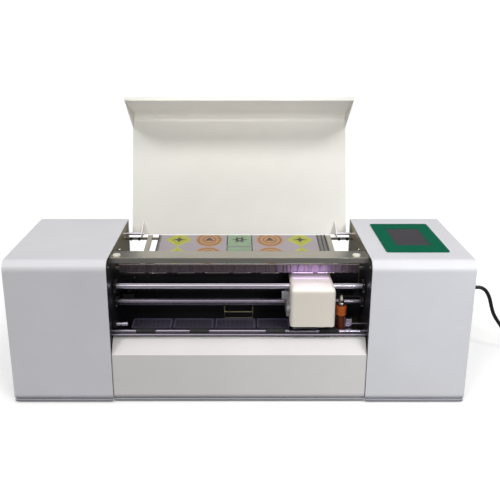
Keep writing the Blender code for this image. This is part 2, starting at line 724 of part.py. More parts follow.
def screen():
    half = 0.0525
    frame = rounded_rectangle((SCREEN_X - half, SCREEN_X + half), (0.0487, 0.2170), 0.004, 3)
    window = [(0.2662, 0.0835), (0.3268, 0.0835), (0.3268, 0.1850), (0.2662, 0.1850)]
    bottom = CASE_TOP + CLEARANCE
    flat_prism("screen_bezel", [frame, window], (bottom, bottom + 0.0012), "green_film")
    box("screen_display", (0.2672, 0.3258), (0.0845, 0.1840), (0.2480, 0.2543), "dark_glass")


def electrics():
    board = box("main_board", (0.2212, 0.2228), (0.100, 0.240), (0.120, 0.230), "circuit_board")
    for depth in (0.106, 0.234):
        for height in (0.126, 0.224):
            stand = bar_tool((FRAME_X + FRAME_SHEET + CLEARANCE, 0.222), depth, height, 0.003, 10)
            boolean(board, stand, "UNION")
    box("power_supply", (0.245, 0.355), (0.070, 0.185), (DECK, 0.061), "zinc_steel", 0.001)
    depth, height = INLET
    inlet = box(
        "mains_inlet", (0.350, 0.3796), (depth - 0.015, depth + 0.015), (height - 0.012, height + 0.012),
        "black_plastic",
    )
    flange = box_tool((0.3792, 0.380), (depth - 0.018, depth + 0.018), (height - 0.015, height + 0.015))
    boolean(inlet, flange, "UNION")
    socket = box_tool((0.3605, 0.39), (depth - 0.0125, depth + 0.0125), (height - 0.0083, height + 0.0083))
    boolean(inlet, socket, "DIFFERENCE")
    switch = box(
        "power_switch", (0.3709, 0.3784), (0.1950, 0.2150), (0.1557, 0.1823), "black_plastic", 0.0008
    )
    axis = pivot("switch_axis", 0.3740, 0.205, 0.169)
    tilt = Matrix.Rotation(SWITCH_TILT, 4, "Y")
    switch.matrix_world = axis.matrix_basis @ tilt @ axis.matrix_basis.inverted() @ switch.matrix_world
    hang([switch], axis)


def ink_tanks():
    """Six moulded tanks on one tray, three on each side of a spine."""
    spine, reach = 0.004, 0.060
    outline = []
    for side in (1, -1):
        for i in range(3):
            start = 0.060 + i * 0.046
            end = start + 0.040
            row = [(side * spine, start), (side * reach, start), (side * reach, end), (side * spine, end)]
            outline.append(row)
    right = [p for row in outline[:3] for p in row]
    left = [p for row in reversed(outline[3:]) for p in reversed(row)]
    points = [(x - 0.297, depth) for x, depth in right + left]
    flat_prism("ink_tank_bank", [points], (DECK, 0.125), "white_plastic")


# ------------------------------------------------------------------ mains lead
def mains_connector():
    depth, height = INLET
    nose = box(
        "mains_connector", (0.362, 0.382), (depth - 0.0118, depth + 0.0118),
        (height - 0.0076, height + 0.0076), "black_plastic",
    )
    body = box_tool((0.3804, 0.4140), (depth - 0.0135, depth + 0.0135), (height - 0.0095, height + 0.0095))
    boolean(nose, body, "UNION")
    relief = add_tool(cylinder_mesh(0.0065, 0.030, 16, 0.0044), place(0.4270, depth, height) @ ALONG_X)
    boolean(nose, relief, "UNION")


def mains_plug():
    """The plug lies beside the coil with its pins pointing back."""
    x = COIL_CENTRE[0] + COIL_RADII[1] - CORD_RADIUS
    height = 0.0125
    body = box(
        "mains_plug", (x - 0.0115, x + 0.0115), (0.3010, 0.3380), (0.0008, 0.0242), "black_plastic", 0.003
    )
    relief = add_tool(cylinder_mesh(0.0042, 0.030, 16, 0.0070), place(x, 0.2870, height) @ ALONG_Y)
    boolean(body, relief, "UNION")
    for side in (-1, 1):
        pin = box_tool((x + side * 0.0064 - 0.0008, x + side * 0.0064 + 0.0008), (0.337, 0.354),
                       (height - 0.0031, height + 0.0031))
        boolean(body, pin, "UNION")


def mains_lead():
    mains_connector()
    mains_plug()
    points = [at(x, INLET[0], height) for x, height in CORD_ROUTE]
    wire("mains_cord_run", smooth_path(points, 0.009), CORD_RADIUS, "black_rubber", 3)
    inner, outer = COIL_RADII
    low, high, soft = 0.0003, 0.0003 + COIL_HEIGHT, 0.002
    profile = [
        (outer - soft, high), (outer, high - soft), (outer, low + soft), (outer - soft, low),
        (inner + soft, low), (inner, low + soft), (inner, high - soft), (inner + soft, high),
    ]
    turned("mains_cord_coil", profile, "black_rubber", place(*COIL_CENTRE, 0), 36, True)


clear_scene()
PARTS = new_collection(MODEL_NAME)
TOOLS = new_collection(f"{MODEL_NAME}_tools")
casing()
front_cover()
rear_cover()
feet()
bay()
tray()
carriage()
belt_drive()
feed()
capping_station()
waste_pump()
head_release_lever()
lid()
screen()
electrics()
ink_tanks()
mains_lead()
bpy.context.view_layer.update()
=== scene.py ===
"""Looks of the desktop UV sheet printer: finishes, trim, print, mains lead, light and camera.

Lengths are metres. "depth" is measured back from the front of the pods, heights from the table.
"""

import math

import bmesh
import bpy
from mathutils import Matrix, Vector


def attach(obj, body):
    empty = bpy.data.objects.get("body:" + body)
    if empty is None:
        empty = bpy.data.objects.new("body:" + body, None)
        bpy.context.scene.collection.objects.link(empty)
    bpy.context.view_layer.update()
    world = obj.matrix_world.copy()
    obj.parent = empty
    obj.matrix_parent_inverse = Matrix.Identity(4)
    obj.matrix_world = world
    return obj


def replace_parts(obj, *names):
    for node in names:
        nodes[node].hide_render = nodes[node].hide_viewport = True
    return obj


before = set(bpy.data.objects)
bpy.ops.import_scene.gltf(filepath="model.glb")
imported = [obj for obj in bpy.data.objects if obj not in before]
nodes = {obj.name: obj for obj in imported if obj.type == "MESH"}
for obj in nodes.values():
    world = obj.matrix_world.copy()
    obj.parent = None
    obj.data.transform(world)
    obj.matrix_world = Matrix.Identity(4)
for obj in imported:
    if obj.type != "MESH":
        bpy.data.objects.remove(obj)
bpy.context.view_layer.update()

FRONT_Y = -0.16602  # Y of the front of the pods


def at(x, depth, height):
    return Vector((x, FRONT_Y + depth, height))


def linear(red, green, blue):
    """Scene colour of an sRGB colour given from 0 to 255."""
    def channel(value):
        value /= 255
        return value / 12.92 if value <= 0.04045 else ((value + 0.055) / 1.055) ** 2.4
    return channel(red), channel(green), channel(blue)


# ------------------------------------------------------------------ camera
CAMERA_PLACE = at(0.0, -1.1059, 0.6300)
CAMERA_PITCH = math.radians(18.27)  # looking down
CAMERA_LENS = 52.91  # mm, on a 36 mm sensor
CAMERA_SHIFT = (0.0216, 0.010)


def make_camera():
    data = bpy.data.cameras.new("camera")
    data.lens = CAMERA_LENS
    data.sensor_width = 36.0
    data.shift_x, data.shift_y = CAMERA_SHIFT
    data.clip_start = 0.05
    data.clip_end = 100.0
    camera = bpy.data.objects.new("camera", data)
    camera.location = CAMERA_PLACE
    camera.rotation_euler = (math.pi / 2 - CAMERA_PITCH, 0.0, 0.0)
    bpy.context.scene.collection.objects.link(camera)
    bpy.context.scene.camera = camera


# ------------------------------------------------------------------ materials
class Finish:
    """A Principled material built up from noise in the piece's own metres."""

    def __init__(self, name, roughness, metallic=0.0, stretch=(1.0, 1.0, 1.0), **sockets):
        self.material = bpy.data.materials.new(name)
        self.material.use_nodes = True
        self.tree = self.material.node_tree
        self.shader = self.tree.nodes["Principled BSDF"]
        self.shader.inputs["Roughness"].default_value = roughness
        self.shader.inputs["Metallic"].default_value = metallic
        for socket, value in sockets.items():
            self.shader.inputs[socket.replace("_", " ")].default_value = value
        self.roughness = roughness
        coordinates = self.add("ShaderNodeTexCoord")
        self.mapping = self.add("ShaderNodeMapping")
        self.mapping.inputs["Scale"].default_value = stretch
        self.link(coordinates.outputs["Object"], self.mapping.inputs["Vector"])
        self.height = None

    def add(self, kind):
        return self.tree.nodes.new(kind)

    def link(self, a, b):
        self.tree.links.new(a, b)

    def noise(self, scale, detail=3.0):
        node = self.add("ShaderNodeTexNoise")
        node.inputs["Scale"].default_value = scale
        node.inputs["Detail"].default_value = detail
        self.link(self.mapping.outputs["Vector"], node.inputs["Vector"])
        return node.outputs["Fac"]

    def cells(self, scale):
        node = self.add("ShaderNodeTexVoronoi")
        node.inputs["Scale"].default_value = scale
        self.link(self.mapping.outputs["Vector"], node.inputs["Vector"])
        return node.outputs["Distance"]

    def colour(self, factor, stops):
        """Base colour from (position, linear colour) stops."""
        ramp = self.add("ShaderNodeValToRGB")
        elements = ramp.color_ramp.elements
        while len(elements) < len(stops):
            elements.new(0.5)
        for element, (position, value) in zip(elements, stops):
            element.position = position
            element.color = (*value, 1.0)
        self.link(factor, ramp.inputs["Fac"])
        self.link(ramp.outputs["Color"], self.shader.inputs["Base Color"])
        return self

    def cloud(self, value, spread, scale=14.0):
        """A colour that drifts by spread, up and down, over the surface."""
        low = tuple(c * (1 - spread) for c in value)
        high = tuple(min(1.0, c * (1 + spread)) for c in value)
        return self.colour(self.noise(scale), [(0.30, low), (0.70, high)])

    def gloss(self, spread, scale=40.0):
        """A roughness that drifts by spread, up and down."""
        node = self.add("ShaderNodeMapRange")
        node.inputs["To Min"].default_value = max(0.02, self.roughness - spread)
        node.inputs["To Max"].default_value = min(1.0, self.roughness + spread)
        self.link(self.noise(scale), node.inputs["Value"])
        self.link(node.outputs["Result"], self.shader.inputs["Roughness"])
        return self

    def bump(self, factor, distance):
        """Relief of the given depth, on top of any relief added before."""
        node = self.add("ShaderNodeBump")
        node.inputs["Distance"].default_value = distance
        self.link(factor, node.inputs["Height"])
        if self.height is not None:
            self.link(self.height, node.inputs["Normal"])
        self.height = node.outputs["Normal"]
        self.link(self.height, self.shader.inputs["Normal"])
        return self


def paint(name, value, roughness=0.36, peel=0.00005):
    """Powder coat: a slow drift of colour, an orange peel and a fine speckle."""
    made = Finish(name, roughness, Specular_IOR_Level=0.45)
    made.cloud(value, 0.02).gloss(0.05)
    made.bump(made.noise(420.0, 2.0), peel).bump(made.noise(2600.0, 1.0), peel * 0.25)
    return made.material


# how the marks in a metal are drawn out: a small factor makes them long on that axis
EVEN = (1.0, 1.0, 1.0)
BRUSHED_ALONG_X = (0.03, 1.0, 1.0)
BRUSHED_UPWARDS = (1.0, 1.0, 0.08)
RINGS_ROUND_X = (1.0, 0.05, 0.05)
# how deep the finest marks are
POLISH_DEPTH = 0.000004
INK_DEPTH = 0.000006


def steel(name, value, roughness, stretch=EVEN, scratch=0.00002, spread=0.10):
    """Bare metal: drawn-out patches of shade and scratches of the given depth."""
    made = Finish(name, roughness, 1.0, stretch)
    low = tuple(c * (1 - spread) for c in value)
    high = tuple(min(1, c * (1 + spread)) for c in value)
    made.colour(made.noise(900.0, 4.0), [(0.25, low), (0.75, high)])
    made.gloss(0.08, 700.0).bump(made.noise(1500.0, 3.0), scratch)
    return made.material


def plastic(name, value, roughness, spread=0.08, grain=0.00003, **sockets):
    """A moulding: cloudy colour and a grained surface."""
    made = Finish(name, roughness, **sockets)
    made.cloud(value, spread, 30.0).gloss(0.06, 120.0)
    made.bump(made.cells(1300.0), grain)
    return made.material


def ink(name, value, roughness=0.30, spread=0.06):
    return plastic(f"print_{name}", value, roughness, spread, INK_DEPTH)


def make_materials():
    return {
        "pod": paint("pod_paint", linear(226, 226, 231)),
        # the pod paint darkened for the casing's bottom roll: painted shade on its downward faces
        "roll": paint("roll_painted_shade", linear(178, 178, 184)),
        "panel": paint("panel_paint", linear(229, 225, 225)),
        "lid": paint("lid_paint", linear(243, 241, 235)),
        "beam": steel("beam_steel", linear(187, 183, 173), 0.34, BRUSHED_ALONG_X),
        "zinc": steel("zinc_steel", linear(150, 143, 118), 0.46, BRUSHED_UPWARDS),
        # both rod steels are tinted lavender, painted light of the UV lamp; the second is a darker copy of
        # the first, painted shade on the rods and shafts low in the bay
        "rod": steel("polished_steel", linear(236, 230, 244), 0.20, RINGS_ROUND_X, POLISH_DEPTH, 0.03),
        "shaded_rod": steel("rod_steel_painted_shade", linear(186, 178, 194), 0.22, RINGS_ROUND_X, POLISH_DEPTH, 0.03),
        "dull_steel": steel("dull_steel", linear(74, 72, 70), 0.45),
        "wire": steel("plated_wire", linear(206, 200, 160), 0.35, EVEN, POLISH_DEPTH, 0.03),
        "black_metal": paint("black_paint", linear(30, 29, 33), 0.45),
        "black_plastic": plastic("black_plastic", linear(20, 20, 23), 0.42),
        "dark_plastic": plastic("platen_plastic", linear(58, 54, 68), 0.40),
        "grey_plastic": plastic("grey_plastic", linear(150, 150, 154), 0.42),
        "rib": plastic("rib_plastic", linear(132, 115, 119), 0.50),
        "white_plastic": plastic("white_plastic", linear(238, 231, 220), 0.30, 0.006, POLISH_DEPTH),
        "rubber": plastic("rubber", linear(26, 25, 27), 0.68, 0.15, 0.00006),
        "amber": plastic("amber_plastic", linear(96, 40, 20), 0.22, 0.15, 0.000008),
        "orange_band": plastic("amber_band", linear(186, 92, 36), 0.25, 0.12, 0.000008),
        "brass": steel("brass", linear(205, 176, 112), 0.28),
        "cord": plastic("cord_pvc", linear(20, 20, 21), 0.40, 0.10, 0.00001),
        "tray": paint("tray_paint", linear(112, 110, 107), 0.42),
        "sheet": plastic("printed_sheet", linear(160, 152, 158), 0.50, 0.02, INK_DEPTH),
        "film": plastic("screen_film", linear(2, 97, 70), 0.50, 0.03, POLISH_DEPTH,
                        Specular_IOR_Level=0.06),
        "display": plastic("display_glass", linear(60, 55, 62), 0.18, 0.06, 0.0,
                           Specular_IOR_Level=0.3),
        "board": plastic("circuit_board", linear(20, 92, 46), 0.45, 0.15, 0.00004),
        "strip": plastic("clear_film", linear(120, 116, 126), 0.20, 0.05, 0.0),
        "cap": plastic("cap_white", linear(226, 222, 208), 0.45, 0.03),
        # a lighter purple-grey on the rims of the platen's tiles and the caps of the guide's ribs: painted
        # highlight where light catches those edges
        "rim": plastic("rim_plastic_painted_highlight", linear(104, 98, 122), 0.35, 0.05),
        "hole": plastic("hole_black", linear(8, 8, 10), 0.7, 0.1),
        "collar": steel("collar_steel", linear(196, 190, 184), 0.25),
        "lime": ink("lime", linear(172, 174, 40)),
        "olive": ink("olive", linear(122, 132, 30)),
        "orange": ink("orange", linear(172, 126, 78)),
        "umber": ink("umber", linear(104, 60, 28)),
        "sage": ink("sage", linear(128, 154, 124), spread=0.10),
        "ink_black": ink("black", linear(28, 32, 26), roughness=0.28),
        # painted shadow: the film's edge shading the display set behind it
        "border": plastic("display_painted_shadow", linear(24, 62, 50), 0.25, 0.05, 0.0),
        "lamp": plastic("lamp_window", linear(150, 130, 210), 0.20, 0.05, 0.0,
                        Emission_Color=(0.45, 0.28, 1.0, 1.0), Emission_Strength=3.0),
    }


# ------------------------------------------------------------------ piece helpers
SHARP_ANGLE = math.radians(35)
CORNER_STEPS = 3  # faces round each corner of a rounded loop
SIDES = ((-1, "left"), (1, "right"))


def add_piece(name, mesh, material, body):
    piece = bpy.data.objects.new(name, mesh)
    bpy.context.scene.collection.objects.link(piece)
    mesh.materials.clear()
    mesh.materials.append(material)
    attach(piece, body)
    return piece


def mesh_from(bm, name):
    """A mesh with smooth faces and sharp edges; bm is used up."""
    mesh = bpy.data.meshes.new(name)
    bmesh.ops.recalc_face_normals(bm, faces=bm.faces)
    bm.to_mesh(mesh)
    bm.free()
    mesh.shade_smooth()
    mesh.set_sharp_from_angle(angle=SHARP_ANGLE)
    return mesh


def bridge(bm, a, b):
    """A band of faces between two loops of equal counts."""
    for i in range(len(a)):
        j = (i + 1) % len(a)
        bm.faces.new((a[i], a[j], b[j], b[i]))


def add_tunnel(bm, loops):
    """A ring-shaped solid whose skin runs from loop to loop and back to the first."""
    for a, b in zip(loops, loops[1:] + loops[:1]):
        bridge(bm, a, b)


def add_slab(bm, low, high):
    """A solid between two loops of points."""
    low, high = ([bm.verts.new(p) for p in loop] for loop in (low, high))
    bm.faces.new(low[::-1])
    bm.faces.new(high)
    bridge(bm, low, high)


def add_block(bm, x, depth, z, bevel):
    """A box with rounded edges from three (low, high) pairs."""
    size = (x[1] - x[0], depth[1] - depth[0], z[1] - z[0])
    middle = at((x[0] + x[1]) / 2, (depth[0] + depth[1]) / 2, (z[0] + z[1]) / 2)
    matrix = Matrix.Translation(middle) @ Matrix.Diagonal((*size, 1.0))
    made = bmesh.ops.create_cube(bm, size=1.0, matrix=matrix)
    edges = list({e for v in made["verts"] for e in v.link_edges})
    bmesh.ops.bevel(bm, geom=edges, offset=bevel, segments=2, affect="EDGES", profile=0.5)


def add_lathe(bm, profile, origin, axis, steps):
    """A closed turned solid: (radius, along) points from one end of the axis to the other."""
    turn = Vector((0, 0, 1)).rotation_difference(Vector(axis)).to_matrix()
    rings = []
    for radius, along in profile:
        if radius == 0.0:
            rings.append([bm.verts.new(origin + turn @ Vector((0, 0, along)))])
            continue
        ring = []
        for i in range(steps):
            angle = 2 * math.pi * i / steps
            point = Vector((radius * math.cos(angle), radius * math.sin(angle), along))
            ring.append(bm.verts.new(origin + turn @ point))
        rings.append(ring)
    for a, b in zip(rings, rings[1:]):
        for i in range(steps):
            j = (i + 1) % steps
            if len(a) == 1:
                bm.faces.new((a[0], b[i], b[j]))
            elif len(b) == 1:
                bm.faces.new((a[i], b[0], a[j]))
            else:
                bm.faces.new((a[i], b[i], b[j], a[j]))


def screws(name, places, axis, material, body, radius, height):
    """One piece made of socket-head screws standing out along axis."""
    profile = [
        (0.0, 0.0), (radius, 0.0), (radius, height * 0.55), (radius * 0.8, height),
        (radius * 0.45, height), (radius * 0.40, height * 0.35), (0.0, height * 0.35),
    ]
    bm = bmesh.new()
    for place in places:
        add_lathe(bm, profile, place, axis, 14)
    return add_piece(name, mesh_from(bm, name), material, body)


def blocks(name, rows, material, body, bevel):
    """One piece made of several rounded boxes, each three (low, high) pairs."""
    bm = bmesh.new()
    for x, depth, z in rows:
        add_block(bm, x, depth, z, bevel)
    return add_piece(name, mesh_from(bm, name), material, body)


def turned(name, profile, origin, axis, material, body, steps=24):
    bm = bmesh.new()
    add_lathe(bm, profile, origin, axis, steps)
    return add_piece(name, mesh_from(bm, name), material, body)


def tube(name, points, radius, material, body, resolution=4):
    """A round wire or lead through points."""
    curve = bpy.data.curves.new(name, "CURVE")
    curve.dimensions = "3D"
    curve.bevel_depth = radius
    curve.bevel_resolution = resolution
    curve.use_fill_caps = True
    spline = curve.splines.new("POLY")
    spline.points.add(len(points) - 1)
    for point, position in zip(spline.points, points):
        point.co = (*position, 1.0)
    spline.use_smooth = True
    curve.materials.append(material)
    piece = bpy.data.objects.new(name, curve)
    bpy.context.scene.collection.objects.link(piece)
    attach(piece, body)
    return piece


# ------------------------------------------------------------------ mains lead
CORD_RADIUS = 0.0035
INLET = (0.205, 0.1325)  # depth and height
COIL_CENTRE = (0.595, 0.2465)  # x and depth
CORD_ROUTE = (
    (0.4040, 0.1325), (0.4230, 0.1325), (0.4425, 0.1325), (0.4520, 0.1325), (0.4610, 0.1318),
    (0.4712, 0.1250), (0.4794, 0.1106), (0.4852, 0.0921), (0.4919, 0.0754), (0.5025, 0.0595),
    (0.5145, 0.0430), (0.5257, 0.0276), (0.5345, 0.0178), (0.5450, 0.0103), (0.5570, 0.0055),
    (0.5697, 0.0038),
)
# the coil's lanes: (turns made when the lead leaves the lane, radius, height)
COIL_LANES = (
    (0.93, 0.0415, 0.0038), (1.86, 0.0345, 0.0038), (2.40, 0.0275, 0.0038), (3.35, 0.0345, 0.0108),
    (4.30, 0.0415, 0.0108), (4.95, 0.0415, 0.0178), (6.02, 0.0345, 0.0178), (99.0, 0.0415, 0.0178),
)
LANE_CHANGE = 0.12  # turns
COIL_TURNS = 6.25
STEPS_PER_TURN = 48
TAIL_STEP = 0.005  # between the points from the coil to the plug
DESCENT_START = 0.006  # behind the coil's middle, where the lead starts down to the plug's height
DESCENT_LENGTH = 0.018
PLUG_X = COIL_CENTRE[0] + COIL_LANES[0][1]
PLUG_HEIGHT = 0.0125
TIE_X = COIL_CENTRE[0] - COIL_LANES[1][1]
TIE_HEIGHT = 0.0110
TIE_HALF_WIDTH = 0.0035


def smooth(points, per_span):
    """Points on the Catmull-Rom curve through the given ones."""
    ends = [2 * points[0] - points[1], *points, 2 * points[-1] - points[-2]]
    path = []
    for a, b, c, d in zip(ends, ends[1:], ends[2:], ends[3:]):
        for i in range(per_span):
            t = i / per_span
            path.append(0.5 * (2 * b + (c - a) * t + (2 * a - 5 * b + 4 * c - d) * t ** 2
                               + (3 * b - a - 3 * c + d) * t ** 3))
    return [*path, points[-1]]


def ease(t):
    """A smooth step from 0 to 1 while t goes from 0 to 1."""
    t = min(1.0, max(0.0, t))
    return t * t * (3 - 2 * t)


def coil_place(turn):
    """Radius and height of the lead after so many turns."""
    lane = next(i for i, row in enumerate(COIL_LANES) if turn < row[0])
    end, radius, height = COIL_LANES[lane]
    if lane + 1 == len(COIL_LANES):
        return radius, height
    share = ease((turn - (end - LANE_CHANGE)) / LANE_CHANGE)
    onward = COIL_LANES[lane + 1]
    return radius + (onward[1] - radius) * share, height + (onward[2] - height) * share


def lead_path():
    """The lead's middle, from inside its connector, through the coil, into its plug."""
    route = [at(x, INLET[0], height) for x, height in CORD_ROUTE]
    route.append(at(COIL_CENTRE[0], INLET[0], COIL_LANES[0][2]))
    path = smooth(route, 3)
    for i in range(1, int(COIL_TURNS * STEPS_PER_TURN) + 1):
        radius, height = coil_place(i / STEPS_PER_TURN)
        angle = 2 * math.pi * i / STEPS_PER_TURN - math.pi / 2
        path.append(at(
            COIL_CENTRE[0] + radius * math.cos(angle), COIL_CENTRE[1] + radius * math.sin(angle), height
        ))
    top = COIL_LANES[-1][2]
    for step in range(1, 10):
        depth = COIL_CENTRE[1] + step * TAIL_STEP
        share = ease((step * TAIL_STEP - DESCENT_START) / DESCENT_LENGTH)
        path.append(at(PLUG_X, depth, top + (PLUG_HEIGHT - top) * share))
    return path


def rounded_loop(half_width, half_height, radius):
    """Points round a rectangle with rounded corners, about its own middle."""
    points = []
    for cx, cy, start in ((1, 1, 0), (-1, 1, 90), (-1, -1, 180), (1, -1, 270)):
        for i in range(CORNER_STEPS + 1):
            angle = math.radians(start + 90 * i / CORNER_STEPS)
            points.append((cx * (half_width - radius) + radius * math.cos(angle),
                           cy * (half_height - radius) + radius * math.sin(angle)))
    return points


def add_loft(bm, sections):
    """A closed solid through loops of points that have equal counts."""
    rings = [[bm.verts.new(p) for p in section] for section in sections]
    for a, b in zip(rings, rings[1:]):
        bridge(bm, a, b)
    bm.faces.new(rings[0][::-1])
    bm.faces.new(rings[-1])


def connector(mats):
    """The lead's moulded connector: nose, body with grip ribs, ringed strain relief."""
    bm = bmesh.new()
    depth, height = INLET

    def section(x, half_width, half_height, radius):
        return [at(x, depth + u, height + v) for u, v in rounded_loop(half_width, half_height, radius)]

    sections = [section(x, w, h, r) for x, w, h, r in (
        (0.3625, 0.0108, 0.0068, 0.0015), (0.3640, 0.0118, 0.0076, 0.0020), (0.3806, 0.0118, 0.0076, 0.0020),
        (0.3808, 0.0129, 0.0089, 0.0026), (0.3818, 0.0135, 0.0095, 0.0030), (0.3880, 0.0135, 0.0095, 0.0030),
    )]
    for rib in range(4):
        x = 0.3895 + rib * 0.0042
        for offset, inset in ((0.0, 0.0008), (0.0018, 0.0008), (0.0024, 0.0), (0.0036, 0.0)):
            sections.append(section(x + offset, 0.0135 - inset, 0.0095 - inset, 0.0030))
    sections += [section(x, w, h, r) for x, w, h, r in (
        (0.4075, 0.0128, 0.0092, 0.0032), (0.4120, 0.0095, 0.0080, 0.0045), (0.4138, 0.0068, 0.0066, 0.0060),
    )]
    add_loft(bm, sections)
    add_relief(bm, at(0.4120, depth, height), (1, 0, 0), 0.0064, 0.0044, 0.030)
    made = add_piece("lead_connector", mesh_from(bm, "lead_connector"), mats["cord"], "chassis")
    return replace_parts(made, "mains_connector")


def add_relief(bm, origin, axis, wide, narrow, length):
    """A tapered strain relief with rings."""
    profile = [(0.0, 0.0)]
    rings = 6
    for i in range(rings):
        start = i / rings
        for share, cut in ((0.0, 0.0), (0.55, 0.0), (0.60, 0.0007), (0.95, 0.0007)):
            along = start + share / rings
            profile.append((wide + (narrow - wide) * along - cut, along * length))
    profile += [(narrow, 0.97 * length), (narrow - 0.0005, length), (0.0, length)]
    add_lathe(bm, profile, origin, axis, 20)


def plug(mats):
    """A generic flat two-pin plug beside the coil."""
    bm = bmesh.new()

    def section(depth, half_width, half_height, radius):
        loop = rounded_loop(half_width, half_height, radius)
        return [at(PLUG_X + u, depth, PLUG_HEIGHT + v) for u, v in loop]

    add_loft(bm, [section(d, w, h, r) for d, w, h, r in (
        (0.3005, 0.0068, 0.0068, 0.0060), (0.3030, 0.0092, 0.0094, 0.0055), (0.3070, 0.0105, 0.0108, 0.0045),
        (0.3120, 0.0105, 0.0109, 0.0040), (0.3128, 0.0098, 0.0102, 0.0038), (0.3150, 0.0098, 0.0102, 0.0038),
        (0.3158, 0.0108, 0.0112, 0.0040), (0.3340, 0.0114, 0.0116, 0.0034), (0.3365, 0.0114, 0.0116, 0.0034),
        (0.3379, 0.0100, 0.0102, 0.0028),
    )])
    add_relief(bm, at(PLUG_X, 0.3020, PLUG_HEIGHT), (0, -1, 0), 0.0066, 0.0043, 0.030)
    body = add_piece("lead_plug", mesh_from(bm, "lead_plug"), mats["cord"], "chassis")
    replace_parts(body, "mains_plug")
    rows = []
    for side in (-1, 1):
        x, z = PLUG_X + side * 0.0064, PLUG_HEIGHT
        rows.append(((x - 0.0008, x + 0.0008), (0.3370, 0.3540), (z - 0.0031, z + 0.0031)))
    pins = blocks("lead_plug_pins", rows, mats["brass"], "chassis", 0.0004)
    return body, pins


def coil_tie(mats):
    """A flat band round the coil's turns."""
    bm = bmesh.new()
    outer, inner = (0.0113, 0.0109), (0.0107, 0.0104)
    loops = []
    for side, half_size in ((-1, outer), (1, outer), (1, inner), (-1, inner)):
        depth = COIL_CENTRE[1] + side * TIE_HALF_WIDTH
        loops.append([
            bm.verts.new(at(TIE_X + u, depth, TIE_HEIGHT + v)) for u, v in rounded_loop(*half_size, 0.0040)
        ])
    add_tunnel(bm, loops)
    return add_piece("lead_tie", mesh_from(bm, "lead_tie"), mats["rubber"], "chassis")


def mains_lead(mats):
    lead = tube("mains_lead", lead_path(), CORD_RADIUS, mats["cord"], "chassis")
    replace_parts(lead, "mains_cord_run", "mains_cord_coil")
    body, pins = plug(mats)
    connector(mats)
    coil_tie(mats)


# ------------------------------------------------------------------ casing
WALL_X = 0.2141  # inner faces of the bay's side walls
COVER_X = 0.3790  # outer faces of the side covers
REAR_DEPTH = 0.2600  # outer face of the rear cover


def soften_edges():
    """Rounds the sharp edges of the CAD's sheet metal and mouldings a little."""
    names_by_width = {
        0.0005: "left_pod_shell right_pod_shell front_cover rear_cover front_top_beam",
        0.0004: "left_side_cover right_side_cover left_side_frame right_side_frame tray_frame "
                "carriage_frame print_head uv_lamp platen capping_base capping_sled head_release_lever",
    }
    for width, names in names_by_width.items():
        for name in names.split():
            weld = nodes[name].modifiers.new("weld", "WELD")
            weld.merge_threshold = 0.00001
            bevel = nodes[name].modifiers.new("soft_edges", "BEVEL")
            bevel.width = width
            bevel.segments = 2
            bevel.limit_method = "ANGLE"
            bevel.angle_limit = math.radians(40)
            bevel.harden_normals = True


def casing_trim(mats):
    """Screws of the side covers, of the walls beside the beam and of the rear cover."""
    spots = [(0.022, 0.030), (0.022, 0.205), (0.240, 0.030), (0.240, 0.225), (0.131, 0.022), (0.131, 0.236)]
    for side, name in SIDES:
        screws(f"{name}_cover_screws", [at(side * COVER_X, d, z) for d, z in spots], (side, 0, 0),
               mats["collar"], "chassis", 0.0028, 0.0009)
    for side, name in SIDES:
        screws(f"{name}_wall_screw", [at(side * 0.2136, 0.020, 0.237)], (-side, 0, 0),
               mats["collar"], "chassis", 0.0024, 0.0012)
    back = [at(x, REAR_DEPTH, z) for x in (-0.365, -0.228, 0.228, 0.365) for z in (0.030, 0.225)]
    back += [at(x, REAR_DEPTH, z) for x in (-0.200, 0.0, 0.200) for z in (0.020, 0.172)]
    screws("back_screws", back, (0, 1, 0), mats["collar"], "chassis", 0.0026, 0.0009)


BOTTOM_ROLL = (  # how far in from the casing's outside, and at what height
    (0.00005, 0.0060), (0.0004, 0.0044), (0.0016, 0.0026), (0.0035, 0.0012), (0.0060, 0.0007),
    (0.0085, 0.0007), (0.0085, 0.0060),
)


def bottom_rolls(mats):
    """Bottom edges of the casing, turned under towards the floor; their darker paint is painted shade."""
    for name, x, depth, slot in (
        ("left_pod_roll", (-0.380, -0.213), (0.0, 0.261), "pod_paint"),
        ("right_pod_roll", (0.213, 0.380), (0.0, 0.261), "pod_paint"),
        ("cover_roll", (-0.2126, 0.2126), (0.003, 0.261), "panel_paint"),
    ):
        middle = at((x[0] + x[1]) / 2, (depth[0] + depth[1]) / 2, 0.0)
        bm = bmesh.new()
        loops = []
        for inset, z in BOTTOM_ROLL:
            points = rounded_loop((x[1] - x[0]) / 2 - inset, (depth[1] - depth[0]) / 2 - inset, 0.0015)
            loops.append([bm.verts.new(middle + Vector((u, v, z))) for u, v in points])
        add_tunnel(bm, loops)
        add_piece(name, mesh_from(bm, name), mats["roll"], "chassis")


def wall_liners(mats):
    """Black liners on the bay's walls, up to the top beam and, before it, to the casing's round edge."""
    outline = [(0.0052, 0.0125), (0.1250, 0.0125), (0.1250, 0.2352), (0.0340, 0.2352), (0.0340, 0.2495)]
    for i in range(7):
        angle = math.radians(90 + 15 * i)
        outline.append((0.0175 + 0.0135 * math.cos(angle), 0.2355 + 0.0138 * math.sin(angle)))
    for side, name in SIDES:
        bm = bmesh.new()
        add_slab(bm, *([at(side * x, d, z) for d, z in outline] for x in (0.21416, 0.21446)))
        add_piece(f"{name}_wall_liner", mesh_from(bm, "liner"), mats["black_metal"], "chassis")


